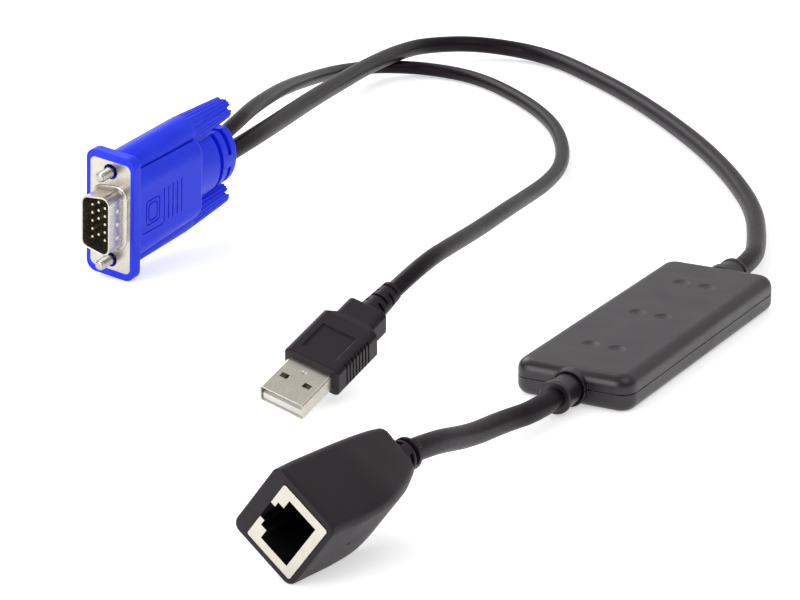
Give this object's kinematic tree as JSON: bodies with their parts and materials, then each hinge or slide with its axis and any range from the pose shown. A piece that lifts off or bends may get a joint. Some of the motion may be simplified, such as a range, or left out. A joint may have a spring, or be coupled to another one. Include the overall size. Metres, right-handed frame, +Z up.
{
  "type": "kvm dongle",
  "caption": "Small inline keyboard, video and mouse adapter module on a floor, wired to a VGA plug with thumbscrews, a USB plug and an RJ45 socket by short cords.",
  "frame": {"origin": "centre of the inline module's bottom, on the surface it lies on", "axes": "+Z up, +Y along the module from its network cord's end to its video cord's end, +X across the module to its right"},
  "size_m": [0.2069, 0.3964, 0.0386],
  "materials": {
    "black_case": "fine satin grain",
    "board": "green solder mask",
    "chip": "matt epoxy",
    "steel": "plain bright",
    "ceramic_caps": "glazed",
    "blue_mould": "satin",
    "nickel": "bright nickel plate",
    "gold": "thin gold plate",
    "inner_mould": "plain",
    "black_mould": "soft satin",
    "white_plastic": "plain",
    "black_insert": "plain",
    "cord_jacket": "soft satin vinyl"
  },
  "bodies": {
    "dongle": {"module_top_cover": "black_case", "module_bottom_cover": "black_case", "module_rear_gland": "black_case", "module_front_gland": "black_case", "module_circuit_board": "board", "module_controller_chip": "chip", "module_video_chip": "chip", "module_network_transformer": "chip", "module_crystal": "steel", "module_capacitors": "ceramic_caps", "vga_hood": "blue_mould", "vga_front_shell": "nickel", "vga_rear_shell": "nickel", "vga_insulator": "black_insert", "vga_pins": "gold", "vga_inner_mould": "inner_mould", "usb_overmould": "black_mould", "usb_shell": "nickel", "usb_tongue": "white_plastic", "usb_contacts": "gold", "usb_inner_mould": "inner_mould", "jack_housing": "black_mould", "jack_shield": "nickel", "jack_insert": "black_insert", "jack_contacts": "gold", "jack_circuit_board": "board", "video_cord": "cord_jacket", "usb_cord": "cord_jacket", "network_cord": "cord_jacket"},
    "thumbscrew_upper": {"vga_thumbscrew_knob_upper": "blue_mould", "vga_jackscrew_upper": "steel"},
    "thumbscrew_lower": {"vga_thumbscrew_knob_lower": "blue_mould", "vga_jackscrew_lower": "steel"}
  },
  "joints": [
    {"name": "upper_thumbscrew_turn", "type": "hinge", "parent": "dongle", "child": "thumbscrew_upper", "pos_m": [-0.14215, -0.02078, 0.03008], "axis": [-0.0347, -0.9944, -0.0993], "continuous": true},
    {"name": "lower_thumbscrew_turn", "type": "hinge", "parent": "dongle", "child": "thumbscrew_lower", "pos_m": [-0.14528, -0.01821, 0.00542], "axis": [-0.0347, -0.9944, -0.0993], "continuous": true}
  ]
}
